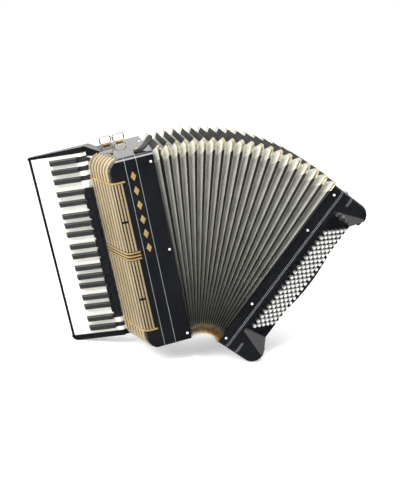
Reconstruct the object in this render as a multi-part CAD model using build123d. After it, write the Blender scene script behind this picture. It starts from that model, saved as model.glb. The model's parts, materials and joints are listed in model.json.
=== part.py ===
from build123d import *
import math
import os

# Piano accordion, fanned open and standing on the keyboard's lower corner and the bass feet.
# Each half is drawn upright in its own frame: X runs along the bellows (0 at that half's bellows
# plane, negative on the treble side, positive on the bass side), Y goes to the back and Z up.
# place_treble and place_bass then swing the halves about the fan axis into the standing pose.

# ---- driving dimensions, millimetres and degrees ----
CASE_HEIGHT = 489
CASE_DEPTH = 194
WALL = 5
EDGE_ROUND = 14

FOLD_COUNT = 20
FOLD_CLOSED = 3.9
FAN_ANGLE = 48.7
FAN_AXIS_HEIGHT = 4
PLEAT_DEPTH = 20
CLOTH = 2

TREBLE_FRAME_WIDTH = 70
FRONT_WIDTH = 107
SIDE_FLARE = 37
SIDE_DEPTH = 122
FRONT_CORNER_ROUND = 18
COVER_END_ROUND = 35
COVER_WALL = 4
PIN_STRIPE_X = 43

WHITE_LETTERS = "FGABCDE" * 3 + "FGA"
WHITE_PITCH = 475 / 24
KEYS_TOP = 497
KEY_GAP = 0.6
KEY_LENGTH = 130
KEY_THICKNESS = 10
BLACK_REACH = 85
BLACK_WIDTH = 10.5
BLACK_RISE = 11
BLACK_CLEARANCE = 1
BLACK_SPREAD = {2: 2.8, 3: 4.4}
KEY_INNER_X = -153
KEY_INNER_Y = 126
KEY_TILT = 22
KEY_FLOOR = 15.5
BED_RIM = 8
BED_BACK = 198
CHEEK = 14
AXLE_DIAMETER = 4
ARM_WIDTH = 5
ARM_DROP = 20
PALLET_WIDTH = 8
BLACK_HALF_NOTCH = BLACK_WIDTH / 2 + BLACK_CLEARANCE
CROWDED_ABOVE = 470
CROWDED_BELOW = 60
LOW_CROWDING = 0.14
ARM_CROWDING = 0.44
PALLET_CROWDING = 0.12

BAND_TOP = 434
BAND_MIDDLE = 250
BAND_BOTTOM = 55
BAR_PROUD = 1.8
SIDE_BAR_COUNT = 7
BAR_WRAP = 25
SIDE_BAR_WIDTH = 7.4
FRONT_BAR_WIDTH = 4.6
BAR_GAPS = ((135, 141), (334, 340))

REGISTER_COUNT = 13
REGISTER_LOW = 90
REGISTER_HIGH = 394

BASS_WIDTH = 124
BASS_SOUNDBOARD_X = 26
BASS_ROUND = 32
BASS_FRONT_ROUND = 14
BOARD_START_X = 31
BOARD_START_Y = 10
BOARD_TILT = 28
BOARD_LOW = 70
BOARD_HIGH = 427
BOARD_THICKNESS = 3
BUTTON_ROWS = 6
BUTTONS_IN_ROW = 20
BUTTON_PITCH = 15.5
ROW_PITCH = 12.5
ROW_STAGGER = 7
BUTTON_DIAMETER = 8.6
FIRST_ROW_E = 34
FIRST_BUTTON_Z = 84
BASS_REGISTERS = 7
FOOT_DIAMETER = 20
FOOT_HEIGHT = 10
FOOT_Y = 48
FOOT_Z = 38

CLOSED_HALF = FOLD_COUNT * FOLD_CLOSED / 2
OUT = "parts"
os.makedirs(OUT, exist_ok=True)


# ---- outlines and prisms ----
def face_of(points):
    return make_face(Polyline(*points, close=True))


def prism_z(points, low, high):
    """Upright prism on an XY outline."""
    return Pos(0, 0, low) * extrude(face_of([(x, y, 0) for x, y in points]), amount=high - low, dir=(0, 0, 1))


def prism_x(points, low, high):
    """Prism along X on a YZ outline."""
    return Pos(low, 0, 0) * extrude(face_of([(0, y, z) for y, z in points]), amount=high - low, dir=(1, 0, 0))


def block(x0, x1, y0, y1, z0, z1):
    return Pos((x0 + x1) / 2, (y0 + y1) / 2, (z0 + z1) / 2) * Box(x1 - x0, y1 - y0, z1 - z0)


def rod(start, end, diameter):
    """Round bar between two points."""
    length = (Vector(*end) - Vector(*start)).length
    plane = Plane(origin=start, z_dir=Vector(*end) - Vector(*start))
    return extrude(plane * Circle(diameter / 2), amount=length)


def tilted_point(origin, angle, along, up):
    """A point in a frame that slopes back by angle as it leaves the bellows."""
    slope = math.radians(angle)
    side = -1 if origin[0] < 0 else 1
    x = origin[0] + side * (along * math.cos(slope) + up * math.sin(slope))
    y = origin[1] + along * math.sin(slope) - up * math.cos(slope)
    return x, y


def key_point(along, up):
    return tilted_point((KEY_INNER_X, KEY_INNER_Y), KEY_TILT, along, up)


def board_point(along, up):
    return tilted_point((BOARD_START_X, BOARD_START_Y), BOARD_TILT, along, up)


def key_prism(outline, low, high):
    return prism_z([key_point(e, n) for e, n in outline], low, high)


def board_prism(outline, low, high):
    return prism_z([board_point(e, n) for e, n in outline], low, high)


# ---- treble case ----
def side_x(y):
    """X of the cover's flared side face at depth y."""
    return -FRONT_WIDTH - SIDE_FLARE * y / SIDE_DEPTH


def round_front_profile(grow, depth):
    """YZ outline with the top and bottom front edges rounded."""
    profile = face_of([
        (0, -grow, -grow),
        (0, depth, -grow),
        (0, depth, CASE_HEIGHT + grow),
        (0, -grow, CASE_HEIGHT + grow),
    ])
    front = profile.vertices().group_by(Axis.Y)[0]
    return fillet(front, EDGE_ROUND + grow)


def cover_plan(grow):
    plan = face_of([
        (-TREBLE_FRAME_WIDTH, -grow, 0),
        (side_x(0) - grow * 0.74, -grow, 0),
        (side_x(SIDE_DEPTH) - grow * 1.05, SIDE_DEPTH, 0),
        (-TREBLE_FRAME_WIDTH, SIDE_DEPTH, 0),
    ])
    corner = plan.vertices().sort_by(Axis.Y).group_by(Axis.Y)[0].sort_by(Axis.X)[0]
    return fillet(corner, FRONT_CORNER_ROUND + grow)


def cover_body(grow):
    """Solid inside the cover's outer surface, moved out by grow."""
    column = Pos(0, 0, -20) * extrude(cover_plan(grow), amount=CASE_HEIGHT + 40, dir=(0, 0, 1))
    reach = SIDE_DEPTH + 60
    start = -30
    left = side_x(start) - grow * 1.05
    gable = face_of([
        (left, start, -grow),
        (80, start, -grow),
        (80, start, CASE_HEIGHT + grow),
        (left, start, CASE_HEIGHT + grow),
    ])
    corners = gable.vertices().group_by(Axis.X)[0]
    gable = fillet(corners, COVER_END_ROUND + grow)
    sheared = extrude(gable, amount=reach * math.hypot(1, SIDE_FLARE / SIDE_DEPTH),
                      dir=(-SIDE_FLARE, SIDE_DEPTH, 0))
    front = Pos(-200, 0, 0) * extrude(round_front_profile(grow, 160), amount=240, dir=(1, 0, 0))
    return column & sheared & front


def bar_depths():
    """Y of each flared-side bar's centre."""
    first, last = 20, 114
    return [first + (last - first) * k / (SIDE_BAR_COUNT - 1) for k in range(SIDE_BAR_COUNT)]


def bar_zones():
    """Height spans of the grille between its bands, lowest first."""
    return [
        (BAND_BOTTOM + 3, BAND_MIDDLE - 12),
        (BAND_MIDDLE + 12, BAND_TOP - 3),
    ]


def front_bar_frames():
    """Centre and outward angle of the bars on the rounded edge and the front."""
    centre_x = -93.7
    frames = [(-87, 0, 0), (-94.5, 0, 0)]
    for angle in (26, 52):
        turn = math.radians(angle)
        x = centre_x - FRONT_CORNER_ROUND * math.sin(turn)
        y = FRONT_CORNER_ROUND * (1 - math.cos(turn))
        frames.append((x, y, angle))
    return frames


def treble_cover():
    shell = cover_body(0) - cover_body(-COVER_WALL)
    shell -= block(-TREBLE_FRAME_WIDTH - 0.1, 0, -5, SIDE_DEPTH + 5, -5, CASE_HEIGHT + 5)
    depths = bar_depths()
    slots = []
    spans = bar_zones() + [(BAND_TOP + 3, CASE_HEIGHT - COVER_END_ROUND), (COVER_END_ROUND, BAND_BOTTOM - 3)]
    for low, high in spans:
        for near, far in zip(depths, depths[1:]):
            middle = (near + far) / 2
            slots.append(block(side_x(middle) - 12, side_x(middle) + 12, middle - 3, middle + 3, low, high))
    for low, high in bar_zones():
        slots.append(block(-92.6, -88.9, -6, 6, low, high))
    lever_relief = cover_body(-1.2) & block(-135, -112, 112, SIDE_DEPTH + 1, 476, CASE_HEIGHT - 4)
    return shell - slots - lever_relief


def grille_bars():
    """Gold bars: seven run the whole flared side and wrap over both ends, four stand on the front."""
    skin = cover_body(BAR_PROUD) - cover_body(0)
    spans = [(-10, BAND_BOTTOM - 3)] + bar_zones() + [(BAND_TOP + 3, CASE_HEIGHT + 10)]
    bars = []
    for depth in bar_depths():
        for low, high in spans:
            inner = side_x(depth) + BAR_WRAP
            bars += (skin & block(-160, inner, depth - SIDE_BAR_WIDTH / 2, depth + SIDE_BAR_WIDTH / 2,
                                 low, high)).solids()
    for (low, high), (gap_low, gap_high) in zip(bar_zones(), BAR_GAPS):
        for number, (x, y, angle) in enumerate(front_bar_frames()):
            lengths = [(low, gap_low), (gap_high, high)] if number in (1, 2) else [(low, high)]
            for bottom, top in lengths:
                strip = Box(FRONT_BAR_WIDTH, BAR_PROUD, top - bottom)
                crests = strip.edges().filter_by(Axis.Z).group_by(Axis.Y)[0]
                strip = Pos(0, -BAR_PROUD / 2 - 0.15, (bottom + top) / 2) * fillet(crests, 1.5)
                bars.append((Pos(x, y, 0) * Rot(0, 0, -angle) * strip).solid())
    return bars


def band_ring(grow, low, high):
    skin = cover_body(grow) - cover_body(0)
    return (skin & block(-160, -78, -10, SIDE_DEPTH - 1, low, high)).solids()


def grille_bands():
    """Gold cross lines: one above, three across the middle and one below."""
    lines = []
    for height in (BAND_BOTTOM, BAND_TOP):
        lines += band_ring(3, height - 1.6, height + 1.6)
    for height in (BAND_MIDDLE - 8, BAND_MIDDLE, BAND_MIDDLE + 8):
        lines += band_ring(3, height - 1.4, height + 1.4)
    return lines


def grille_lining():
    """Cloth behind the slots and the dark fields between the middle gold lines."""
    inner = cover_body(-COVER_WALL - 0.4) - cover_body(-COVER_WALL - 1.4)
    sheet = inner & block(-160, -84, 2, SIDE_DEPTH - 4, COVER_END_ROUND, CASE_HEIGHT - COVER_END_ROUND)
    fields = []
    for low, high in ((-12, -9.4), (-6.6, -1.4), (1.4, 6.6), (9.4, 12)):
        fields += band_ring(1.4, BAND_MIDDLE + low, BAND_MIDDLE + high)
    return sheet.solids() + fields


def treble_case():
    """Four-walled frame between the bellows and the grille cover."""
    width = TREBLE_FRAME_WIDTH
    body = Pos(-width, 0, 0) * extrude(round_front_profile(0, CASE_DEPTH), amount=width, dir=(1, 0, 0))
    body -= block(-width - 1, 1, WALL, CASE_DEPTH - WALL, WALL, CASE_HEIGHT - WALL)
    groove = block(-PIN_STRIPE_X - 0.7, -PIN_STRIPE_X + 0.7, -1, 0.6, -1, CASE_HEIGHT + 1)
    groove += block(-PIN_STRIPE_X - 0.7, -PIN_STRIPE_X + 0.7, 5, CASE_DEPTH, CASE_HEIGHT - 0.6, CASE_HEIGHT + 1)
    return body - groove - [pin_hole(p) for p in pin_places(-1)]


def treble_soundboard():
    inside = block(-TREBLE_FRAME_WIDTH, -TREBLE_FRAME_WIDTH + 6, WALL, CASE_DEPTH - WALL, WALL, CASE_HEIGHT - WALL)
    holes = [
        block(-TREBLE_FRAME_WIDTH - 1, -TREBLE_FRAME_WIDTH + 7, 66, 102, z - 2, z + 2)
        for z in map(pallet_height, key_centres())
    ]
    return inside - holes


def reed_blocks(foot, tip):
    """Four reed blocks standing on a soundboard and reaching into the bellows."""
    x0, x1 = sorted((foot, tip))
    return [block(x0, x1, y - 10, y + 10, 40, CASE_HEIGHT - 40) for y in (44, 79, 114, 149)]


def bass_reed_blocks():
    """The bass soundboard with its reed blocks."""
    board = block(BASS_SOUNDBOARD_X - 6, BASS_SOUNDBOARD_X - 0.2, WALL, CASE_DEPTH - WALL, WALL, CASE_HEIGHT - WALL)
    return [board.solid()] + reed_blocks(BASS_SOUNDBOARD_X - 6, -32)


# ---- keyboard ----
def white_span(index):
    top = KEYS_TOP - index * WHITE_PITCH
    return top - WHITE_PITCH + KEY_GAP / 2, top - KEY_GAP / 2


def has_black_below(index):
    return index + 1 < len(WHITE_LETTERS) and WHITE_LETTERS[index] not in "BE"


def black_centres():
    """Height of every black key, highest first, in groups of two and three spread from their middle."""
    groups = [[]]
    for index in range(len(WHITE_LETTERS)):
        if has_black_below(index):
            groups[-1].append(KEYS_TOP - (index + 1) * WHITE_PITCH)
        elif groups[-1]:
            groups.append([])
    spread = []
    for group in groups:
        for place, z in enumerate(group):
            share = 1 - 2 * place / (len(group) - 1)
            group[place] = z + BLACK_SPREAD[len(group)] * share
        spread += [group] if group else []
    return spread


def neck_span(index):
    """Height left to a white key's inner end between the black keys beside it."""
    low, high = white_span(index)
    middle = (low + high) / 2
    for z in (z for group in black_centres() for z in group):
        if z < middle:
            low = max(low, z + BLACK_HALF_NOTCH)
        else:
            high = min(high, z - BLACK_HALF_NOTCH, arm_height(z) - ARM_WIDTH / 2 - BLACK_CLEARANCE)
    return low, high


def key_centres():
    whites = [sum(neck_span(k)) / 2 for k in range(len(WHITE_LETTERS))]
    return whites + [z for group in black_centres() for z in group]


def pallet_height(centre):
    """Height of a pallet: the outermost ones crowd inwards, clear of the case's ends."""
    inwards = max(0, CROWDED_BELOW - centre) * LOW_CROWDING - max(0, centre - CROWDED_ABOVE) * PALLET_CROWDING
    return centre - ARM_DROP + inwards


AXLE = key_point(-8, -20)
PALLET_FACE = -TREBLE_FRAME_WIDTH - 0.4


def arm_height(centre):
    """Height of a key's lever: the outermost ones crowd inwards, clear of the cover's rounded ends."""
    return centre + max(0, CROWDED_BELOW - centre) * LOW_CROWDING - max(0, centre - CROWDED_ABOVE) * ARM_CROWDING


def key_arm(centre, top):
    """Lever from the key's inner end, over the axle, to the pallet on the soundboard."""
    pallet_z = pallet_height(centre)
    centre = arm_height(centre)
    low, high = centre - ARM_WIDTH / 2, centre + ARM_WIDTH / 2
    neck = key_prism([(4, top), (4, -KEY_THICKNESS), (-4, -25), (-13, -22), (-11, top - 3), (-6, top)], low, high)
    ax, ay = AXLE
    run = Vector(PALLET_FACE - 5 - ax, 85 - ay, pallet_z - centre)
    root = face_of([(ax + 4, ay + 4, low), (ax + 4, ay + 4, high), (ax - 4, ay - 4, high), (ax - 4, ay - 4, low)])
    reach = extrude(root, amount=run.length, dir=tuple(run))
    half = PALLET_WIDTH / 2
    pallet = block(PALLET_FACE - 6, PALLET_FACE, 60, 108, pallet_z - half, pallet_z + half)
    reach -= block(PALLET_FACE, 0, 40, 120, pallet_z - 20, pallet_z + 20)
    hub = Pos(ax, ay, centre) * Cylinder(6, ARM_WIDTH)
    bore = Pos(ax, ay, centre) * Cylinder(AXLE_DIAMETER / 2 + 0.15, ARM_WIDTH + 2)
    return neck + reach + pallet + hub - bore


def white_key(index):
    low, high = white_span(index)
    outline = make_face(Polyline(
        *[key_point(e, n) for e, n in [(0, 0), (KEY_LENGTH, 0), (KEY_LENGTH, -KEY_THICKNESS), (-9, -KEY_THICKNESS)]],
        key_point(-9, -7), close=True))
    cap = Pos(0, 0, low) * extrude(outline, amount=high - low, dir=(0, 0, 1))
    neck_low, neck_high = neck_span(index)
    notch = [(-20, 5), (BLACK_REACH + 1.5, 5), (BLACK_REACH + 1.5, -30), (-20, -30)]
    cuts = []
    if neck_low > low:
        cuts.append(key_prism(notch, low - 5, neck_low))
    if neck_high < high:
        cuts.append(key_prism(notch, neck_high, high + 5))
    cap = cap - cuts
    front = cap.edges().filter_by(Axis.Z).sort_by_distance((*key_point(KEY_LENGTH, 0), (low + high) / 2))[0]
    cap = fillet(front, 1.5)
    neck = (neck_low + neck_high) / 2
    arm_low = arm_height(neck) - ARM_WIDTH / 2
    if arm_low + ARM_WIDTH < neck_low:
        cap += key_prism([(4, -9), (4, -16), (-6, -16), (-6, -9)], arm_low, neck)
    return cap + key_arm(neck, -9)


def black_key(centre):
    half = BLACK_WIDTH / 2
    cap = key_prism([
        (14, -8), (14, BLACK_RISE), (BLACK_REACH - 4, BLACK_RISE), (BLACK_REACH, 2), (BLACK_REACH, -8),
    ], centre - half, centre + half)
    ridges = cap.edges().group_by(SortBy.LENGTH)[-1]
    top = ridges.sort_by(lambda edge: edge.center().Y)[:2]
    cap = fillet(top, 1.5)
    tail = key_prism([(-9, -8), (-9, -6), (-2, -1), (14, -1), (14, -8)], centre - half, centre + half)
    return cap + tail + key_arm(centre, -5)


NECK_X = -139
SHOULDER_X = -108
SLOPE_START_Y = 128
SLOPE_DROP = 11
BED_LOW = KEYS_TOP - 475 - CHEEK
BED_HIGH = KEYS_TOP + CHEEK
AXLE_SEAT = 6


def key_axle():
    return rod((*AXLE, BED_LOW + AXLE_SEAT), (*AXLE, BED_HIGH - AXLE_SEAT), AXLE_DIAMETER)


def keyboard_bed():
    """Glossy tray under the keys with an outer rim, two end cheeks and the back panel of the neck."""
    low, high = BED_LOW, BED_HIGH
    outer = KEY_LENGTH + BED_RIM
    rim_x, rim_y = key_point(outer, 2)
    back_x = rim_x + (BED_BACK - rim_y) * math.tan(math.radians(KEY_TILT))
    inner = -TREBLE_FRAME_WIDTH - 0.1
    tray = prism_z([
        (rim_x, rim_y),
        key_point(-4, 2),
        key_point(-4, -3),
        (inner, SIDE_DEPTH + 0.6),
        (inner, CASE_DEPTH),
        (-150, CASE_DEPTH + 1),
        (-165, BED_BACK),
        (back_x, BED_BACK),
    ], low, high)
    corner = tray.edges().filter_by(lambda edge: abs(edge.tangent_at(0).Z) < 0.01)
    corner = corner.sort_by(lambda edge: edge.center().X)[:2]
    tray = fillet(corner, 16)
    well = prism_z([
        key_point(KEY_LENGTH + 1.5, 12),
        key_point(-14, 12),
        (NECK_X, SIDE_DEPTH - 8),
        (NECK_X, CASE_DEPTH - 8),
        (NECK_X + 3, CASE_DEPTH - 8),
        key_point(KEY_LENGTH + 1.5, -KEY_FLOOR),
    ], low + CHEEK - 0.6, high - CHEEK + 0.6)
    neck = block(NECK_X - 1, inner + 1, SIDE_DEPTH - 8, CASE_DEPTH - 8, low + CHEEK - 0.6, CASE_HEIGHT - 3)
    rim_cut = key_prism([(KEY_LENGTH + 1, 12), (KEY_LENGTH + 20, 12), (KEY_LENGTH + 20, -4), (KEY_LENGTH + 1, -4)],
                        low + CHEEK, high - CHEEK)
    shoulder = Pos(0, -100, 0) * extrude(face_of([
        (NECK_X - 4, 0, high),
        (SHOULDER_X, 0, CASE_HEIGHT),
        (inner + 20, 0, CASE_HEIGHT),
        (inner + 20, 0, high + 40),
        (NECK_X - 4, 0, high + 40),
    ]), amount=400, dir=(0, 1, 0))
    back_slope = Pos(-400, 0, 0) * extrude(face_of([
        (0, SLOPE_START_Y, high),
        (0, BED_BACK + 1, high - SLOPE_DROP),
        (0, BED_BACK + 1, high + 40),
        (0, SLOPE_START_Y, high + 40),
    ]), amount=400, dir=(1, 0, 0))
    return tray - well - neck - rim_cut - shoulder - back_slope - key_axle()


# ---- treble registers ----
REGISTER_PIVOT = key_point(1, 7)


def register_heights():
    step = (REGISTER_HIGH - REGISTER_LOW) / (REGISTER_COUNT - 1)
    return [REGISTER_LOW + k * step for k in range(REGISTER_COUNT)]


def register_housing():
    low, high = REGISTER_LOW - 16, REGISTER_HIGH + 16
    body = key_prism([(-7.3, 2.2), (9, 2.2), (10, 3.6), (10, 9.5), (-11.3, 9.5)], low, high)
    gaps = [key_prism([(-7, 4), (11, 4), (11, 12), (-7, 12)], z - 11, z + 11) for z in register_heights()]
    pivot = rod((*REGISTER_PIVOT, low + 4), (*REGISTER_PIVOT, high - 4), 2)
    return [body - gaps - pivot, pivot]


def treble_registers():
    """Rocker switches with a thumb rise at the outer end."""
    bore = rod((*REGISTER_PIVOT, REGISTER_LOW - 20), (*REGISTER_PIVOT, REGISTER_HIGH + 20), 2.5)
    rockers = []
    for z in register_heights():
        rocker = key_prism([(-5.5, 5.6), (3, 4.8), (12, 7), (13, 13), (9, 14), (2, 10.5), (-5.5, 11)], z - 10.4, z + 10.4)
        rockers.append((rocker - bore).solid())
    return rockers


# ---- pins, frames and straps ----
def pin_places(side):
    """Bellows pins as (start, direction) on the front, back, top and bottom walls."""
    x = side * 8.5
    heights = (22, 245, 467) if side < 0 else (22, 130, 359, 467)
    places = [((x, 0, z), (0, 1, 0)) for z in heights]
    places += [((x, CASE_DEPTH, z), (0, -1, 0)) for z in heights]
    places += [((x, y, CASE_HEIGHT), (0, 0, -1)) for y in (62, 132)]
    places += [((x, y, 0), (0, 0, 1)) for y in (62, 132)]
    return places


def pin_hole(place):
    start, direction = place
    origin = Vector(*start)
    way = Vector(*direction)
    return rod(tuple(origin - way), tuple(origin + way * 13), 2.6)


def pins(side):
    solids = []
    for start, direction in pin_places(side):
        origin = Vector(*start)
        way = Vector(*direction)
        shank = rod(start, tuple(origin + way * 13), 2.6)
        head = Plane(origin=origin - way * 1.6, z_dir=way) * (Pos(0, 0, 0.8) * Cylinder(2.8, 1.6))
        solids.append((shank + head).solid())
    return solids


def bellows_frame(side):
    """Wooden frame that carries one end of the bellows inside the case rim."""
    x0, x1 = sorted((side * 0.2, side * 18))
    ring = block(x0, x1, WALL + 0.2, CASE_DEPTH - WALL - 0.2, WALL + 0.2, CASE_HEIGHT - WALL - 0.2)
    ring -= block(x0 - 1, x1 + 1, 30, CASE_DEPTH - 30, 30, CASE_HEIGHT - 30)
    return ring - [pin_hole(p) for p in pin_places(side)]


STRAP_LOOP_X = (-85, -52)
STRAP_LOOP_Y = 180
STRAP_HINGE_Z = CASE_HEIGHT + 4


def strap_brackets():
    """Screwed plates with ears for the shoulder-strap loops, and the round gold stud on the cover."""
    solids = []
    for x in STRAP_LOOP_X:
        plate = block(x - 9, x + 9, STRAP_LOOP_Y - 9, STRAP_LOOP_Y + 12, CASE_HEIGHT, CASE_HEIGHT + 1.6)
        barrel = rod((x - 7, STRAP_LOOP_Y, STRAP_HINGE_Z), (x + 7, STRAP_LOOP_Y, STRAP_HINGE_Z), 7)
        ear = block(x - 7, x + 7, STRAP_LOOP_Y - 3, STRAP_LOOP_Y + 3, CASE_HEIGHT + 1.6, STRAP_HINGE_Z)
        bore = rod((x - 12, STRAP_LOOP_Y, STRAP_HINGE_Z), (x + 12, STRAP_LOOP_Y, STRAP_HINGE_Z), 3.6)
        solids.append((plate + barrel + ear - bore).solid())
    stud = Pos(-88, 75, CASE_HEIGHT + 1.5) * Cylinder(5.5, 3)
    stud -= Pos(-88, 75, CASE_HEIGHT + 3) * Cylinder(3.2, 3)
    return solids + [stud.solid()]


def strap_loop(x):
    """Closed wire loop, 3 mm thick, standing in its bracket."""
    width, height, corner = 28, 18, 6
    middle = Plane(origin=(x, STRAP_LOOP_Y, STRAP_HINGE_Z + height / 2), x_dir=(1, 0, 0), z_dir=(0, -1, 0))
    path = (middle * RectangleRounded(width, height, corner)).wire()
    start = (x, STRAP_LOOP_Y, STRAP_HINGE_Z)
    return sweep(Plane(origin=start, z_dir=(1, 0, 0)) * Circle(1.5), path=path)


def bellows_strap():
    """Leather closing strap, fixed to the treble top and folded back on itself, with its snap."""
    top = CASE_HEIGHT
    outline = [
        (-40, top), (-14, top), (12, top + 26), (10, top + 33), (4, top + 34), (-20, top + 12),
        (-24, top + 9), (-40, top + 3),
    ]
    leather = extrude(face_of([(x, 24, z) for x, z in outline]), amount=22, dir=(0, 1, 0))
    snap = Plane(origin=(-34, 35, top + 3.4), z_dir=(0, 0, 1)) * (Pos(0, 0, 1) * Cylinder(4.5, 2))
    return [leather.solid(), snap.solid()]


# ---- bellows ----
def fan_point(share, y, rise, lean):
    """Point of the fanned bellows: share 0 at the treble and 1 at the bass, rise above the fan axis."""
    angle = math.radians(lean - FAN_ANGLE * share)
    along = CLOSED_HALF * (2 * share - 1)
    x = along * math.cos(angle) - rise * math.sin(angle)
    z = along * math.sin(angle) + rise * math.cos(angle)
    return x, y, z


def pleat_ring(step, inset, lean):
    """Corners of one ridge or valley, front bottom first."""
    depth = inset + (0 if step % 2 else PLEAT_DEPTH)
    low = 2 - FAN_AXIS_HEIGHT + depth
    high = CASE_HEIGHT + 5 - FAN_AXIS_HEIGHT - depth
    near, far = 4 + depth, CASE_DEPTH - 4 - depth
    share = step / (2 * FOLD_COUNT)
    corners = ((near, low), (far, low), (far, high), (near, high))
    return [fan_point(share, y, rise, lean) for y, rise in corners]


def pleated_skin(inset, lean):
    rings = [pleat_ring(step, inset, lean) for step in range(2 * FOLD_COUNT + 1)]
    faces = [face_of(rings[0]).face(), face_of(rings[-1]).face()]
    for ring, after in zip(rings, rings[1:]):
        for k in range(4):
            a, b, c, d = ring[k], ring[(k + 1) % 4], after[(k + 1) % 4], after[k]
            faces.append(Face(Wire.make_polygon([a, b, c])))
            faces.append(Face(Wire.make_polygon([a, c, d])))
    return Solid(Shell(faces))


def bellows_pleats(lean):
    """Twenty folds of cloth and card, open at both ends."""
    return pleated_skin(0, lean) - pleated_skin(CLOTH, lean)


# ---- bass side ----
def bass_case():
    gable = face_of([(0, 0, 0), (BASS_WIDTH, 0, 0), (BASS_WIDTH, 0, CASE_HEIGHT), (0, 0, CASE_HEIGHT)])
    gable = fillet(gable.vertices().group_by(Axis.X)[-1], BASS_ROUND)
    body = extrude(gable, amount=CASE_DEPTH, dir=(0, 1, 0))
    front = body.faces().sort_by(Axis.Y)[0]
    rim = front.edges().filter_by(lambda edge: edge.center().X > 1)
    body = fillet(rim, BASS_FRONT_ROUND)
    cavity = [
        (-1, WALL),
        (BASS_SOUNDBOARD_X - 2, WALL),
        board_point(2, -20),
        board_point(98, -20),
        (BASS_WIDTH - WALL, 92),
        (BASS_WIDTH - WALL, CASE_DEPTH - WALL),
        (-1, CASE_DEPTH - WALL),
    ]
    body -= prism_z(cavity, 12, CASE_HEIGHT - 12)
    body -= block(-1, BASS_SOUNDBOARD_X, WALL, CASE_DEPTH - WALL, WALL, CASE_HEIGHT - WALL)
    body -= board_recess()
    body -= board_prism([(20, 0), (102, 0), (102, -12), (20, -12)], BOARD_LOW + 4, BOARD_HIGH - 4)
    body -= board_prism([(5, 0), (24, 0), (24, -9), (5, -9)], 134, 390)
    body -= Pos(*WHEEL_CENTRE) * Box(9, 30, 34)
    body -= rod((WHEEL_CENTRE[0] - 12, *WHEEL_CENTRE[1:]), (WHEEL_CENTRE[0] + 12, *WHEEL_CENTRE[1:]), 4)
    body -= rod(AIR_BUTTON, (BASS_WIDTH + 5, *AIR_BUTTON[1:]), 15)
    return body - [pin_hole(p) for p in pin_places(1)]


def board_recess():
    """Space in front of the button board, with end walls that slope outwards."""
    span = 70
    rise = BOARD_THICKNESS
    low_far, high_far = BOARD_LOW - span * 0.75, BOARD_HIGH + span * 0.75
    slope = math.radians(BOARD_TILT)
    along = Plane(origin=(*board_point(0, -rise), 0), x_dir=(0, 0, 1), z_dir=(math.cos(slope), math.sin(slope), 0))
    outline = face_of([
        (BOARD_LOW, 0, 0),
        (BOARD_HIGH, 0, 0),
        (BOARD_HIGH, rise, 0),
        (high_far, rise + span, 0),
        (low_far, rise + span, 0),
        (BOARD_LOW, rise, 0),
    ])
    return extrude(along * outline, amount=170)


def button_places():
    """(Distance across the board, height) of all the round buttons."""
    return [
        (FIRST_ROW_E + row * ROW_PITCH, FIRST_BUTTON_Z + row * ROW_STAGGER + k * BUTTON_PITCH)
        for row in range(BUTTON_ROWS)
        for k in range(BUTTONS_IN_ROW)
    ]


def bass_register_heights():
    return [153 + k * 35.8 for k in range(BASS_REGISTERS)]


def board_location(along, up, z):
    """Frame on the board: local X along it, local Z out of it."""
    x, y = board_point(along, up)
    slope = math.radians(BOARD_TILT)
    return Location(Plane(origin=(x, y, z), x_dir=(math.cos(slope), math.sin(slope), 0),
                          z_dir=(math.sin(slope), -math.cos(slope), 0)))


def bass_button_board():
    reach = (BASS_WIDTH - BOARD_START_X) / math.cos(math.radians(BOARD_TILT)) - 1
    plate = board_prism([(0.2, 0), (reach, 0), (reach, -BOARD_THICKNESS), (0.2, -BOARD_THICKNESS)],
                        BOARD_LOW + 0.2, BOARD_HIGH - 0.2)
    holes = [board_location(e, -1.5, z) * Cylinder(BUTTON_DIAMETER / 2 + 0.35, 6) for e, z in button_places()]
    slots = [board_location(14, -1.5, z) * Box(11, 23, 6) for z in bass_register_heights()]
    return plate - holes - slots


def bass_buttons():
    radius = BUTTON_DIAMETER / 2
    button = Cylinder(radius, 9)
    button = fillet(button.edges().group_by(Axis.Z)[-1], 1.6)
    return [(board_location(e, 1.7, z) * button).solid() for e, z in button_places()]


def bass_registers():
    tabs = []
    for z in bass_register_heights():
        tab = Box(10, 22, 8)
        tab = fillet(tab.edges().group_by(Axis.Z)[-1], 1.5)
        tabs.append((board_location(14, 1.6, z) * tab).solid())
    return tabs


def bass_feet():
    feet = []
    for y in (FOOT_Y, CASE_DEPTH - 36):
        for z in (FOOT_Z, CASE_HEIGHT - FOOT_Z):
            foot = Rot(0, 90, 0) * Cylinder(FOOT_DIAMETER / 2, FOOT_HEIGHT)
            foot = fillet(foot.edges().group_by(Axis.X)[-1], 1.5)
            feet.append((Pos(BASS_WIDTH + FOOT_HEIGHT / 2, y, z) * foot).solid())
    return feet


AIR_BUTTON = (BASS_WIDTH - 14, 96, 438)
WHEEL_CENTRE = (96, 140, CASE_HEIGHT - 6)


def air_button():
    body = rod(AIR_BUTTON, (BASS_WIDTH + 7, *AIR_BUTTON[1:]), 14)
    return fillet(body.edges().group_by(Axis.X)[-1], 2)


def strap_wheel():
    """Knurled thumb wheel that tightens the hand strap, with its spindle."""
    wheel = Rot(0, 90, 0) * Cylinder(13, 8)
    teeth = [
        Rot(angle, 0, 0) * Pos(0, 0, 13) * Box(10, 1.4, 1.6)
        for angle in range(0, 360, 15)
    ]
    spindle = Rot(0, 90, 0) * Cylinder(1.8, 22)
    return Pos(*WHEEL_CENTRE) * (wheel - teeth + spindle)


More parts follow.
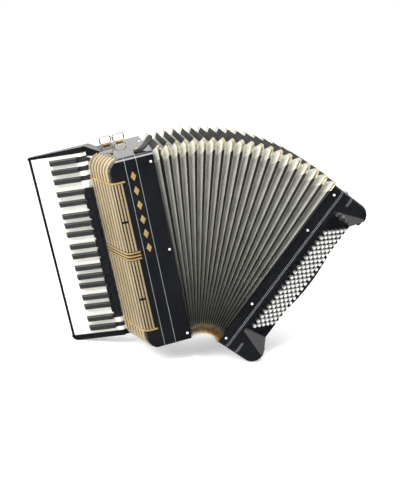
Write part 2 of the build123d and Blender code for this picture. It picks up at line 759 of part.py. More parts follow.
def bass_strap():
    """Padded leather hand strap, bowed off the outer face and screwed down at both ends."""
    face = BASS_WIDTH
    bow = 34
    inner = ThreePointArc((face, 60), (face + bow, CASE_HEIGHT / 2), (face, CASE_HEIGHT - 60))
    outer = ThreePointArc((face, 50), (face + bow + 6, CASE_HEIGHT / 2), (face, CASE_HEIGHT - 50))
    edges = [inner, outer, Line(inner @ 0, outer @ 0), Line(inner @ 1, outer @ 1)]
    ring = make_face(edges)
    upright = Plane(origin=(0, 118, 0), x_dir=(1, 0, 0), z_dir=(0, -1, 0))
    return extrude(upright * ring, amount=-58)


# ---- standing pose ----
def treble_swing(lean):
    return Rot(0, -lean, 0) * Pos(-CLOSED_HALF, 0, -FAN_AXIS_HEIGHT)


def bass_swing(lean):
    return Rot(0, FAN_ANGLE - lean, 0) * Pos(CLOSED_HALF, 0, -FAN_AXIS_HEIGHT)


def standing_lean(bed, bass_base):
    """Lean at which the keyboard corner and the bass corner reach down equally."""
    low, high = 0, 20
    for _ in range(30):
        lean = (low + high) / 2
        bed_bottom = (treble_swing(lean) * bed).bounding_box().min.Z
        base_bottom = (bass_swing(lean) * bass_base).bounding_box().min.Z
        low, high = (low, lean) if bed_bottom < base_bottom else (lean, high)
    return lean


def as_list(shape):
    return list(shape) if isinstance(shape, list) else list(shape.solids())


def build():
    """Every node as {name: shape} in the standing pose, with the two swings that put it there."""
    treble = {
        "treble_case": treble_case(),
        "treble_cover": treble_cover(),
        "grille_bars": grille_bars(),
        "grille_bands": grille_bands(),
        "grille_lining": grille_lining(),
        "keyboard_bed": keyboard_bed(),
        "key_axle": key_axle(),
        "treble_soundboard": treble_soundboard(),
        "treble_reed_blocks": reed_blocks(-TREBLE_FRAME_WIDTH + 6, 32),
        "register_housing": register_housing(),
        "treble_registers": treble_registers(),
        "treble_bellows_frame": bellows_frame(-1),
        "treble_pins": pins(-1),
        "strap_brackets": strap_brackets(),
        "strap_loop_left": strap_loop(STRAP_LOOP_X[0]),
        "strap_loop_right": strap_loop(STRAP_LOOP_X[1]),
        "bellows_strap": bellows_strap(),
    }
    for index in range(len(WHITE_LETTERS)):
        treble[f"white_key_{index + 1:02d}"] = white_key(index)
    for number, group in enumerate(black_centres(), 1):
        treble[f"black_keys_{number}"] = [black_key(z).solid() for z in group]
    bass = {
        "bass_case": bass_case(),
        "bass_button_board": bass_button_board(),
        "bass_buttons": bass_buttons(),
        "bass_registers": bass_registers(),
        "bass_feet": bass_feet(),
        "bass_pins": pins(1),
        "bass_bellows_frame": bellows_frame(1),
        "bass_reed_blocks": bass_reed_blocks(),
        "air_button": air_button(),
        "strap_wheel": strap_wheel(),
        "bass_strap": bass_strap(),
    }
    bass_base = Compound(as_list(bass["bass_feet"]) + as_list(bass["bass_case"]))
    lean = standing_lean(treble["keyboard_bed"], bass_base)
    placed = {name: treble_swing(lean) * Compound(as_list(shape)) for name, shape in treble.items()}
    placed["bellows_pleats"] = Compound(as_list(bellows_pleats(lean)))
    placed |= {name: bass_swing(lean) * Compound(as_list(shape)) for name, shape in bass.items()}
    box = Compound(list(placed.values())).bounding_box()
    centre = box.center()
    to_floor = Pos(-centre.X, -centre.Y, -box.min.Z)
    placed = {name: to_floor * shape for name, shape in placed.items()}
    return placed, lean, to_floor


PLACED, LEAN, TO_FLOOR = build()
for node, shape in PLACED.items():
    export_step(shape, f"{OUT}/{node}.step")
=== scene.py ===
import json
import math

import bmesh
import bpy
from mathutils import Matrix, Vector


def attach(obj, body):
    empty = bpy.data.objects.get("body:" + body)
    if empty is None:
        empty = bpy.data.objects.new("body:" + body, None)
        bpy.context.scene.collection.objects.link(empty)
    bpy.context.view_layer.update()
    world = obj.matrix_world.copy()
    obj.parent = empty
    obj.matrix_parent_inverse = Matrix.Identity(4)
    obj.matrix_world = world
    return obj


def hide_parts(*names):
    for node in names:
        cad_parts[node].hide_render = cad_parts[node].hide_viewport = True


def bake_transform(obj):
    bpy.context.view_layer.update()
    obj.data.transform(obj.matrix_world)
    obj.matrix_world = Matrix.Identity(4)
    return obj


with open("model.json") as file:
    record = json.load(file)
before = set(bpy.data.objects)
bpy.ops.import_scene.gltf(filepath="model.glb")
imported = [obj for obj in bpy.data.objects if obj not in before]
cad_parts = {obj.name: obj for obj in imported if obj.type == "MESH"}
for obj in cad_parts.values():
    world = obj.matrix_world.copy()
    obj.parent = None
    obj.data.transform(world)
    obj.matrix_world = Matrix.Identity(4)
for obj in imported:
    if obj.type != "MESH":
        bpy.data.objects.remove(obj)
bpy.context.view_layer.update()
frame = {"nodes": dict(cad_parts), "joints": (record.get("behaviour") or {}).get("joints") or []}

NODES = frame["nodes"]
MM = 0.001

# Each half has its own frame in millimetres: X along the bellows, Y to the back and Z up.
# The two frames meet at the axis that the bellows fan about.
JOINTS = {joint["name"]: joint for joint in frame["joints"]}
HALF_DEPTH = 0.097          # in metres, as the frame's joints are
FAN_AXIS = Vector(JOINTS["bellows_fan"]["pos_m"]) - Vector((0, HALF_DEPTH, 0))
ALONG_TREBLE = JOINTS["strap_loop_left_swing"]["axis"]
LEAN = math.atan2(ALONG_TREBLE[2], ALONG_TREBLE[0])
FAN = math.radians(48.7)    # angle between the halves at rest
HALF = 39.0                 # half the closed bellows' length
AXIS_RISE = 4.0             # the fan axis above the cases' undersides
CASE_HEIGHT = 489.0
CASE_DEPTH = 194.0
EDGE_ROUND = 14.0


# ---------------------------------------------------------------- places
def turned(x, y, z, angle):
    """World point of (x, y, z) millimetres from the fan axis, swung up by an angle."""
    c, s = math.cos(angle), math.sin(angle)
    return FAN_AXIS + MM * Vector((c * x - s * z, y, s * x + c * z))


def treble(x, y, z):
    """World point of a place in the keyboard half's frame."""
    return turned(x - HALF, y, z - AXIS_RISE, LEAN)


def bass(x, y, z):
    """World point of a place in the button half's frame."""
    return turned(x + HALF, y, z - AXIS_RISE, LEAN - FAN)


def fan(share, y, rise):
    """World point in the bellows: share 0 at the treble and 1 at the bass, rise from the fan axis."""
    return turned(HALF * (2 * share - 1), y, rise, LEAN - FAN * share)


# ---------------------------------------------------------------- materials
class Finish:
    """A Principled material built up from procedural layers."""

    def __init__(self, name, colour, rough, metallic=0.0, coat=0.0, coat_rough=0.03, specular=0.5, sheen=0.0):
        self.material = bpy.data.materials.new(name)
        self.material.use_nodes = True
        self.nodes = self.material.node_tree.nodes
        self.links = self.material.node_tree.links
        self.shader = self.nodes["Principled BSDF"]
        self.shader.inputs["Metallic"].default_value = metallic
        self.shader.inputs["Coat Weight"].default_value = coat
        self.shader.inputs["Coat Roughness"].default_value = coat_rough
        self.shader.inputs["Specular IOR Level"].default_value = specular
        self.shader.inputs["Sheen Weight"].default_value = sheen
        self.shader.inputs["Base Color"].default_value = (*colour, 1)
        self.shader.inputs["Roughness"].default_value = rough
        self.place = self.nodes.new("ShaderNodeTexCoord").outputs["Object"]
        self.relief = None

    def new(self, kind, **settings):
        node = self.nodes.new(kind)
        for key, value in settings.items():
            if key in node.inputs:
                node.inputs[key].default_value = value
            else:
                setattr(node, key, value)
        return node

    def stretched(self, scale):
        """Object coordinates scaled by axis, for grain that runs one way."""
        mapping = self.new("ShaderNodeMapping")
        mapping.inputs["Scale"].default_value = scale
        self.links.new(self.place, mapping.inputs["Vector"])
        return mapping.outputs["Vector"]

    def noise(self, scale, detail, stretch=None):
        node = self.new("ShaderNodeTexNoise", Scale=scale, Detail=detail)
        self.links.new(self.stretched(stretch) if stretch else self.place, node.inputs["Vector"])
        return node.outputs["Fac"]

    def ramp(self, value, stops):
        node = self.new("ShaderNodeValToRGB")
        elements = node.color_ramp.elements
        for k, (at, colour) in enumerate(stops):
            element = elements[k] if k < 2 else elements.new(at)
            element.position = at
            element.color = (*colour, 1)
        self.links.new(value, node.inputs["Fac"])
        return node.outputs["Color"]

    def tint(self, value, stops):
        """Colour that follows a pattern."""
        self.links.new(self.ramp(value, stops), self.shader.inputs["Base Color"])
        return self

    def roughen(self, value, low, high):
        """Roughness that follows a pattern."""
        node = self.new("ShaderNodeMapRange")
        node.inputs["To Min"].default_value = low
        node.inputs["To Max"].default_value = high
        node.inputs["From Min"].default_value = 0.3
        node.inputs["From Max"].default_value = 0.7
        self.links.new(value, node.inputs["Value"])
        self.links.new(node.outputs["Result"], self.shader.inputs["Roughness"])
        return self

    def bump(self, value, strength, distance=0.0004):
        """Relief that follows a pattern, laid over the relief before it."""
        node = self.new("ShaderNodeBump", Strength=strength, Distance=distance)
        self.links.new(value, node.inputs["Height"])
        if self.relief:
            self.links.new(self.relief, node.inputs["Normal"])
        self.relief = node.outputs["Normal"]
        self.links.new(self.relief, self.shader.inputs["Normal"])
        return self


def varied(name, low, high, rough, scale, spread=0.05, bump=0.05, grain=600, stretch=None, **kw):
    """Finish whose colour, roughness and fine relief all vary."""
    finish = Finish(name, high, rough, **kw)
    broad = finish.noise(scale, 4, stretch)
    fine = finish.noise(grain, 2, stretch)
    finish.tint(broad, [(0.3, low), (0.7, high)])
    finish.roughen(broad, rough - spread, rough + spread)
    finish.bump(fine, bump)
    return finish


LACQUER = varied("black_lacquer", (0.0055, 0.006, 0.0075), (0.009, 0.010, 0.012), 0.13, spread=0.04, scale=9,
                 bump=0.02, grain=180, coat=1.0, coat_rough=0.04)
GOLD_BAR = varied("champagne_gold", (0.66, 0.51, 0.30), (0.80, 0.65, 0.42), 0.40, spread=0.05, scale=14,
                  bump=0.04, grain=300, stretch=(3, 3, 0.4), metallic=0.7)
GOLD_LINE = varied("yellow_gold", (0.70, 0.49, 0.16), (0.84, 0.62, 0.25), 0.36, spread=0.06, scale=45,
                   bump=0.05, grain=500, metallic=0.7)
STEEL = varied("polished_steel", (0.70, 0.70, 0.70), (0.92, 0.92, 0.90), 0.22, spread=0.06, scale=120,
               bump=0.04, grain=900, metallic=1.0)
PIN_HEAD = varied("pearl_pin", (0.78, 0.78, 0.74), (0.92, 0.92, 0.88), 0.25, spread=0.05, scale=300,
                  bump=0.05)
WIRE = varied("plated_wire", (0.50, 0.44, 0.32), (0.74, 0.66, 0.50), 0.25, spread=0.08, scale=90,
              bump=0.05, grain=800, metallic=1.0)
IVORY = varied("ivory_keys", (0.66, 0.655, 0.60), (0.74, 0.735, 0.68), 0.20, spread=0.04, scale=26, bump=0.02,
               grain=300, stretch=(1, 1, 3), coat=0.6, coat_rough=0.06)
KEY_BLACK = varied("key_black", (0.018, 0.018, 0.019), (0.028, 0.028, 0.030), 0.38, spread=0.05, scale=70,
                   bump=0.05, grain=700, stretch=(0.3, 0.3, 2), coat=0.35, coat_rough=0.28)
BED_BLACK = varied("bed_black", (0.0055, 0.006, 0.0075), (0.009, 0.010, 0.012), 0.22, spread=0.05, scale=9,
                   bump=0.02, grain=180, coat=0.12, coat_rough=0.08, specular=0.25)
REGISTER = varied("register_black", (0.007, 0.008, 0.010), (0.013, 0.014, 0.017), 0.20, spread=0.05, scale=80,
                  bump=0.03, coat=0.6, coat_rough=0.08)
FRAME_BLACK = varied("frame_black", (0.008, 0.008, 0.008), (0.016, 0.016, 0.015), 0.42, scale=90, bump=0.1)
WOOD = varied("spruce", (0.34, 0.20, 0.09), (0.52, 0.34, 0.17), 0.55, scale=18, bump=0.15, grain=90,
              stretch=(9, 9, 0.7))
RUBBER = varied("foot_rubber", (0.008, 0.008, 0.008), (0.016, 0.016, 0.016), 0.62, scale=160, bump=0.2,
                grain=900)
BUTTON = varied("button_white", (0.80, 0.80, 0.77), (0.92, 0.92, 0.90), 0.22, spread=0.05, scale=180,
                bump=0.03, coat=0.5, coat_rough=0.08)
HARDWARE = varied("bracket_gold", (0.42, 0.33, 0.18), (0.66, 0.54, 0.33), 0.32, spread=0.1, scale=110,
                  bump=0.1, metallic=1.0)


def grille_cloth():
    """Dark brown woven cloth behind the grille's openings."""
    finish = Finish("grille_cloth", (0.02, 0.014, 0.010), 0.8, sheen=0.2)
    warp = finish.new("ShaderNodeTexWave", Scale=260, Distortion=0.6, bands_direction="Z")
    weft = finish.new("ShaderNodeTexWave", Scale=260, Distortion=0.6, bands_direction="Y")
    for node in (warp, weft):
        finish.links.new(finish.place, node.inputs["Vector"])
    both = finish.new("ShaderNodeMath", operation="MULTIPLY")
    finish.links.new(warp.outputs["Fac"], both.inputs[0])
    finish.links.new(weft.outputs["Fac"], both.inputs[1])
    finish.tint(both.outputs["Value"], [(0.0, (0.010, 0.007, 0.005)), (0.8, (0.040, 0.028, 0.018))])
    finish.bump(both.outputs["Value"], 0.5)
    return finish


def woven(name, low, high, rough, threads=900.0, sheen=0.1, specular=0.3):
    """Bellows covering: a fine weave in the piece's own UV, with broad mottling over it."""
    finish = Finish(name, high, rough, sheen=sheen, specular=specular)
    uv = finish.new("ShaderNodeTexCoord").outputs["UV"]
    waves = []
    for direction in ("X", "Y"):
        wave = finish.new("ShaderNodeTexWave", Scale=threads, Distortion=0.8, bands_direction=direction)
        finish.links.new(uv, wave.inputs["Vector"])
        waves.append(wave.outputs["Fac"])
    weave = finish.new("ShaderNodeMath", operation="MULTIPLY")
    for k in range(2):
        finish.links.new(waves[k], weave.inputs[k])
    mottle = finish.new("ShaderNodeTexNoise", Scale=24.0, Detail=5.0)
    finish.links.new(uv, mottle.inputs["Vector"])
    mixed = finish.new("ShaderNodeMath", operation="ADD")
    finish.links.new(mottle.outputs["Fac"], mixed.inputs[0])
    finish.links.new(weave.outputs["Value"], mixed.inputs[1])
    finish.tint(mixed.outputs["Value"], [(0.35, low), (1.2, high)])
    finish.roughen(mottle.outputs["Fac"], rough - 0.08, rough + 0.08)
    finish.bump(weave.outputs["Value"], 0.35, 0.0003)
    return finish


def leather(name, low, high, rough):
    """Pebbled leather with worn, paler high spots."""
    finish = Finish(name, high, rough, specular=0.4)
    cells = finish.new("ShaderNodeTexVoronoi", Scale=700.0)
    finish.links.new(finish.place, cells.inputs["Vector"])
    broad = finish.noise(38, 4)
    finish.tint(broad, [(0.35, low), (0.72, high)])
    finish.roughen(broad, rough - 0.1, rough + 0.1)
    finish.bump(cells.outputs["Distance"], 0.45, 0.0005)
    finish.bump(finish.noise(160, 3), 0.2)
    return finish


GRILLE_CLOTH = grille_cloth()
CLOTH = woven("bellows_cloth", (0.22, 0.215, 0.19), (0.40, 0.395, 0.355), 0.55)
# Black edging tape; on the bellows front its band also stands in for the folds' shade, as painted shade.
TAPE_AND_FOLD_SHADE = woven("bellows_tape_and_fold_shade", (0.004, 0.004, 0.004), (0.010, 0.010, 0.0095), 0.45, threads=500.0, sheen=0.0,
             specular=0.2)
GUSSET = woven("bellows_gusset", (0.38, 0.38, 0.32), (0.62, 0.62, 0.54), 0.55, threads=400.0)
INSIDE = woven("bellows_lining", (0.10, 0.08, 0.06), (0.20, 0.17, 0.13), 0.7)
CAP_METAL = varied("cap_metal", (0.70, 0.58, 0.36), (0.95, 0.86, 0.66), 0.24, spread=0.08, scale=120,
                   bump=0.1, grain=700, metallic=1.0)
CAP_GOLD = varied("cap_gold", (0.62, 0.42, 0.14), (0.85, 0.64, 0.28), 0.30, spread=0.08, scale=120,
                  bump=0.1, grain=700, metallic=1.0)
STRAP_LEATHER = leather("strap_leather", (0.010, 0.008, 0.006), (0.035, 0.026, 0.018), 0.42)
THREAD = varied("stitching", (0.16, 0.13, 0.08), (0.30, 0.25, 0.17), 0.6, scale=400, bump=0.4)
LINE_GREY = varied("pinstripe_grey", (0.20, 0.21, 0.22), (0.34, 0.35, 0.36), 0.35, scale=200)

NODE_FINISH = {
    "treble_case": LACQUER, "treble_cover": LACQUER, "keyboard_bed": BED_BLACK, "bass_case": LACQUER,
    "bass_button_board": LACQUER, "register_housing": REGISTER, "treble_registers": REGISTER,
    "bass_registers": REGISTER, "grille_bars": GOLD_BAR, "grille_bands": GOLD_LINE,
    "grille_lining": GRILLE_CLOTH, "key_axle": STEEL, "treble_pins": PIN_HEAD, "bass_pins": PIN_HEAD,
    "strap_brackets": HARDWARE,
    "strap_loop_left": WIRE, "strap_loop_right": WIRE, "treble_soundboard": WOOD, "treble_reed_blocks": WOOD,
    "bass_reed_blocks": WOOD, "treble_bellows_frame": FRAME_BLACK, "bass_bellows_frame": FRAME_BLACK,
    "bass_feet": RUBBER, "bass_buttons": BUTTON, "air_button": BUTTON, "strap_wheel": STEEL,
}


def dress(piece, finish):
    piece.data.materials.clear()
    piece.data.materials.append(finish.material)


for node_name, node_object in NODES.items():
    if node_name.startswith("white_key"):
        dress(node_object, IVORY)
    elif node_name.startswith("black_keys"):
        dress(node_object, KEY_BLACK)
    elif node_name in NODE_FINISH:
        dress(node_object, NODE_FINISH[node_name])
    for polygon in node_object.data.polygons:
        polygon.use_smooth = False


# ---------------------------------------------------------------- mesh helpers
def piece_of(name, points, faces, finishes, indices=None, smooth=True):
    """New object from points and faces, with a finish for each material index."""
    mesh = bpy.data.meshes.new(name)
    mesh.from_pydata([tuple(p) for p in points], [], faces)
    for finish in finishes:
        mesh.materials.append(finish.material)
    if indices:
        mesh.polygons.foreach_set("material_index", indices)
    mesh.polygons.foreach_set("use_smooth", [smooth] * len(mesh.polygons))
    mesh.update()
    built = bpy.data.objects.new(name, mesh)
    bpy.context.scene.collection.objects.link(built)
    return built


def outward(piece):
    """Turns all of a closed piece's faces outwards."""
    bm = bmesh.new()
    bm.from_mesh(piece.data)
    bmesh.ops.recalc_face_normals(bm, faces=bm.faces)
    bm.to_mesh(piece.data)
    bm.free()
    return piece


def applied(piece, *modifiers):
    """Adds modifiers as (kind, settings) and applies them all."""
    for kind, settings in modifiers:
        modifier = piece.modifiers.new(kind.lower(), kind)
        for key, value in settings.items():
            setattr(modifier, key, value)
    depsgraph = bpy.context.evaluated_depsgraph_get()
    mesh = bpy.data.meshes.new_from_object(piece.evaluated_get(depsgraph))
    piece.modifiers.clear()
    piece.data = mesh
    return piece


def tube_faces(rings, sides):
    """Quads between rings of points, with both ends closed."""
    faces = []
    for r in range(rings - 1):
        for k in range(sides):
            a, b = r * sides + k, r * sides + (k + 1) % sides
            faces.append((a, b, b + sides, a + sides))
    faces.append(tuple(reversed(range(sides))))
    faces.append(tuple(range((rings - 1) * sides, rings * sides)))
    return faces


# ---------------------------------------------------------------- bellows
FOLDS = 20
PLEAT = 20.0
CLOTH_THICKNESS = 1.2
SOFT_CREST = 0.045
TAPE_PROUD = 0.35
TAPE_AND_SHADE_REACH = (0.62, 0.31, 0.62, 0.31)    # share of a fold that the black tape covers: bottom, back, top, front; on the front the black band is also painted shade in the folds
CAP_LENGTH = 24.0
CORNER_ROUND, CORNER_ROUND_DEEP = 7.0, 3.0
CORNER_STEPS = 5
FIRST_FOLD_LEAD = 0.35
FOLD_CROWDING = 2.79
LOW, HIGH = -2.0, 490.0
NEAR, FAR = 4.0, CASE_DEPTH - 4.0
STEPS = (0.0, 0.06, 0.19, 0.345, 0.352, 0.46, 0.5, 0.54, 0.648, 0.655, 0.81, 0.94)


def fold_share(fold):
    """Share of the fan at a place counted in folds: the folds stand closer on the treble side."""
    u = (fold - 0.5) / (FOLDS - 1)
    lead = FIRST_FOLD_LEAD - FOLD_CROWDING * u * (1 - u)
    ease = min(1.0, fold / 0.5, (FOLDS - fold) / 0.5)
    return min(1.0, max(0.0, (fold + lead * ease) / FOLDS))


def fold_depth(phase):
    """Depth below the ridge line at a phase of the fold, with a soft crest and valley."""
    level = abs(1 - 2 * phase)
    if level < SOFT_CREST:
        level = SOFT_CREST / 2 + level * level / (2 * SOFT_CREST)
    if level > 1 - SOFT_CREST:
        level = 1 - SOFT_CREST / 2 - (1 - level) ** 2 / (2 * SOFT_CREST)
    tape = TAPE_PROUD if abs(phase - 0.5) < 0.15 else 0.0
    return PLEAT * level - tape


def section(depth):
    """(y, rise, corner distance, side) round one ring of the bellows, with eased corners."""
    low, high = LOW + depth, HIGH - depth
    near, far = NEAR + depth, FAR - depth
    radius = CORNER_ROUND - (CORNER_ROUND - CORNER_ROUND_DEEP) * min(1.0, max(0.0, depth / PLEAT))
    corners = [(near, low), (far, low), (far, high), (near, high)]
    out = []
    for k in range(4):
        corner = Vector(corners[k])
        before = (Vector(corners[k - 1]) - corner).normalized()
        after = (Vector(corners[(k + 1) % 4]) - corner).normalized()
        length = (Vector(corners[(k + 1) % 4]) - corner).length
        centre = corner + radius * (before + after)
        for step in range(CORNER_STEPS):
            turn = math.radians(90 * step / (CORNER_STEPS - 1))
            point = centre - radius * (after * math.cos(turn) + before * math.sin(turn))
            out.append((point, 0.0, k))
        marks = [CAP_LENGTH * 0.5, CAP_LENGTH, CAP_LENGTH + 3]
        span = length - 2 * (CAP_LENGTH + 3)
        runs = 8 if k % 2 else 5
        marks += [CAP_LENGTH + 3 + span * n / runs for n in range(1, runs)]
        marks += [length - m for m in (CAP_LENGTH + 3, CAP_LENGTH, CAP_LENGTH * 0.5)]
        for mark in marks:
            out.append((corner + after * mark, min(mark, length - mark), k))
    return out


def bellows():
    """Pleated skin with cloth panels, black edging tape on the ridges and pale leather at the corners; on the
    front the black tape band is also painted shade of the folds.
    """
    phases = [(fold, phase) for fold in range(FOLDS) for phase in STEPS] + [(FOLDS - 1, 1.0)]
    points, shares, travel = [], [], []
    sides = len(section(0.0))
    for inward in (0.0, CLOTH_THICKNESS):
        for fold, phase in phases:
            share = fold_share(fold + phase)
            for point, _, _ in section(fold_depth(phase) + inward):
                points.append(fan(share, point.x, point.y))
                shares.append(share)
            travel.append((fold + phase) * 2 * PLEAT * MM)
    rings = len(phases)
    faces, indices = [], []
    distances = section(0.0)
    for skin in range(2):
        base = skin * rings * sides
        for r in range(rings - 1):
            phase = (phases[r][1] + (phases[r + 1][1] or 1.0)) / 2
            for k in range(sides):
                a, b = base + r * sides + k, base + r * sides + (k + 1) % sides
                quad = (a, b, b + sides, a + sides)
                faces.append(quad if skin else tuple(reversed(quad)))
                near_corner = max(distances[k][1], distances[(k + 1) % sides][1]) <= CAP_LENGTH + 0.1
                if skin:
                    indices.append(3)
                elif near_corner:
                    indices.append(2)
                else:
                    # Tape faces about each ridge; on the front side they are also painted shade in the folds.
                    indices.append(1 if abs(phase - 0.5) < TAPE_AND_SHADE_REACH[distances[k][2]] / 2 else 0)
    inner = rings * sides
    for r in (0, rings - 1):
        for k in range(sides):
            a, b = r * sides + k, r * sides + (k + 1) % sides
            quad = (a, b, b + inner, a + inner)
            faces.append(quad if r == 0 else tuple(reversed(quad)))
            indices.append(1)
    built = piece_of("bellows_skin", points, faces, (CLOTH, TAPE_AND_FOLD_SHADE, GUSSET, INSIDE), indices, smooth=False)
    around = [0.0]
    for (a, _, _), (b, _, _) in zip(distances, distances[1:] + distances[:1]):
        around.append(around[-1] + (b - a).length * MM)
    layer = built.data.uv_layers.new(name="cover")
    for polygon in built.data.polygons:
        columns = [built.data.loops[i].vertex_index % sides for i in polygon.loop_indices]
        wraps = max(columns) - min(columns) > 1
        for i, column in zip(polygon.loop_indices, columns):
            ring = built.data.loops[i].vertex_index // sides
            across = around[sides] if wraps and column == 0 else around[column]
            layer.data[i].uv = (across, travel[ring])
    return built, shares


def corner_caps(name, finish, corner_numbers):
    """Bright folded plates over every ridge at the given corners, each with rolled ends."""
    points, faces, shares = [], [], []
    profile = ((0.355, 0.55), (0.40, 0.75), (0.46, 0.8), (0.5, 1.0), (0.54, 0.8), (0.60, 0.75), (0.645, 0.55))
    for fold in range(FOLDS):
        for corner in corner_numbers:
            ring_points = section(0.0)
            sides = len(ring_points)
            starts = [i for i, (_, _, side) in enumerate(ring_points) if side == corner]
            first = starts[0]
            columns = [(first + n) % sides for n in (-2, -1, 0, 1, 2, 3, 4, 5, 6)]
            base = len(points)
            for lift in (0.0, 1.0):
                for phase, proud in profile:
                    share = fold_share(fold + phase)
                    outline = section(fold_depth(phase) - proud * lift + 0.25)
                    for column in columns:
                        spot = outline[column][0]
                        points.append(fan(share, spot.x, spot.y))
                        shares.append(share)
            wide, tall = len(columns), len(profile)
            layer = wide * tall
            for r in range(tall - 1):
                for k in range(wide - 1):
                    a = base + r * wide + k
                    faces.append((a, a + 1, a + 1 + wide, a + wide))
                    faces.append((a + layer, a + layer + wide, a + layer + wide + 1, a + layer + 1))
            for r in range(tall - 1):
                for k in (0, wide - 1):
                    a = base + r * wide + k
                    faces.append((a, a + wide, a + wide + layer, a + layer))
            for r in (0, tall - 1):
                for k in range(wide - 1):
                    a = base + r * wide + k
                    faces.append((a, a + 1, a + 1 + layer, a + layer))
    return outward(piece_of(name, points, faces, (finish,), smooth=False)), shares


def spread_over_fan(piece):
    """Bakes the piece's placement into its points, which already stand at their own share of the fan at rest.
    """
    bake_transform(piece)


skin, skin_shares = bellows()
spread_over_fan(skin)
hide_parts("bellows_pleats")
for cap_name, cap_finish, cap_corners in (
    ("bellows_caps_top", CAP_METAL, (2, 3)),
    ("bellows_caps_bottom", CAP_GOLD, (0, 1)),
):
    caps, cap_shares = corner_caps(cap_name, cap_finish, cap_corners)
    spread_over_fan(caps)


# ---------------------------------------------------------------- front lines and inlays
LINE_SINK, LINE_PROUD = 0.1, 0.25


def profile_ribbon(place, x, width, path):
    """Thin inlaid line that follows a (y, z, outward y, outward z) path on a case, as points and faces."""
    points = []
    for y, z, oy, oz in path:
        for side, lift in ((-0.5, -LINE_SINK), (0.5, -LINE_SINK), (0.5, LINE_PROUD), (-0.5, LINE_PROUD)):
            points.append(place(x + side * width, y + oy * lift, z + oz * lift))
    return points, tube_faces(len(path), 4)


def case_profile(low_end, high_end):
    """Path up a case's front between two heights, round the lower and upper edges if it gets to them."""
    radius = EDGE_ROUND
    path = []
    if low_end <= 0:
        path += [(radius - radius * math.sin(t), radius - radius * math.cos(t), -math.sin(t), -math.cos(t))
                 for t in [math.radians(90 * k / 6) for k in range(6)]]
        low_end = radius
    path += [(0, z, -1, 0) for z in (low_end, (low_end + min(high_end, CASE_HEIGHT - radius)) / 2)]
    if high_end >= CASE_HEIGHT:
        centre = CASE_HEIGHT - radius
        path += [(radius - radius * math.cos(t), centre + radius * math.sin(t), -math.cos(t), math.sin(t))
                 for t in [math.radians(90 * k / 6) for k in range(7)]]
    else:
        path.append((0, high_end, -1, 0))
    return path


def lines(name, place, body, specs):
    """Grey lines inlaid in a case's front, as one piece, from (x, width, path) for each."""
    points, faces = [], []
    for x, width, path in specs:
        more_points, more_faces = profile_ribbon(place, x, width, path)
        faces += [tuple(i + len(points) for i in face) for face in more_faces]
        points += more_points
    built = outward(piece_of(name, points, faces, (LINE_GREY,), smooth=False))
    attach(built, body)


lines("treble_pinstripes", treble, "treble", [
    (-69.4, 0.9, case_profile(0, CASE_HEIGHT)),
    (-41.6, 0.9, case_profile(0, CASE_HEIGHT)),
])
lines("bass_pinstripes", bass, "bass", [
    (x, 0.7, path)
    for x, path in (
        (22.0, case_profile(0, CASE_HEIGHT)),
        (26.0, case_profile(0, CASE_HEIGHT)),
        (52.0, case_profile(462, CASE_HEIGHT)),
        (56.0, case_profile(462, CASE_HEIGHT)),
        (52.0, case_profile(0, 34)),
        (56.0, case_profile(0, 34)),
    )
])


LOZENGE_X = -55.5
LOZENGE_TOP, LOZENGE_PITCH = 442, 36
LOZENGE_HALF_WIDTH, LOZENGE_HALF_HEIGHT = 6.5, 12


def lozenges():
    """Six plain faceted lozenges down the treble front."""
    points, faces = [], []
    w, h = LOZENGE_HALF_WIDTH, LOZENGE_HALF_HEIGHT
    for number in range(6):
        z = LOZENGE_TOP - LOZENGE_PITCH * number
        base = len(points)
        outline = [(0, h), (w, 0), (0, -h), (-w, 0)]
        for scale, lift in ((1.0, 0.2), (1.0, -0.5), (0.72, -0.9)):
            points += [treble(LOZENGE_X + x * scale, lift, z + dz * scale) for x, dz in outline]
        points.append(treble(LOZENGE_X, -1.15, z))
        for ring in (0, 4):
            for k in range(4):
                a, b = base + ring + k, base + ring + (k + 1) % 4
                faces.append((a, b, b + 4, a + 4))
        faces += [(base + 8 + k, base + 8 + (k + 1) % 4, base + 12) for k in range(4)]
        faces.append((base, base + 3, base + 2, base + 1))
    return outward(piece_of("treble_lozenges", points, faces, (GOLD_LINE,), smooth=False))


inlays = lozenges()
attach(inlays, "treble")


# ---------------------------------------------------------------- straps
STRAP_SIDES = 16
CLOSING_STRAP_Y = 35.0
TOP = CASE_HEIGHT
BASS_END = 124
HAND_STRAP_Y = 147
HAND_STRAP_END = 56
HAND_STRAP_BOW = 35.5
HAND_STRAP_STEPS = 24
STITCH_LENGTH = 3.2
STITCH_SHAPE = ((0.12, 0.15), (0.3, 0.45), (0.7, 0.45), (0.88, 0.15))    # (share of its length, radius)


def strap_mesh(name, path, width, thick, place, across, crown=0.0):
    """Leather strap: a (x, z, outward x, outward z) path swept across Y, with rounded long edges."""
    ring = []
    half = width / 2
    for k in range(STRAP_SIDES):
        turn = 2 * math.pi * k / STRAP_SIDES
        c, s = math.cos(turn), math.sin(turn)
        y = half * math.copysign(abs(c) ** 0.35, c)
        lift = thick / 2 * math.copysign(abs(s) ** 0.7, s) + thick / 2
        ring.append((y, lift + crown * max(0.0, s) * (1 - (y / half) ** 2)))
    points = [
        place(x + ox * lift, across + y, z + oz * lift)
        for x, z, ox, oz in path
        for y, lift in ring
    ]
    built = outward(piece_of(name, points, tube_faces(len(path), STRAP_SIDES), (STRAP_LEATHER,)))
    return applied(built, ("SUBSURF", {"levels": 1, "render_levels": 1}))


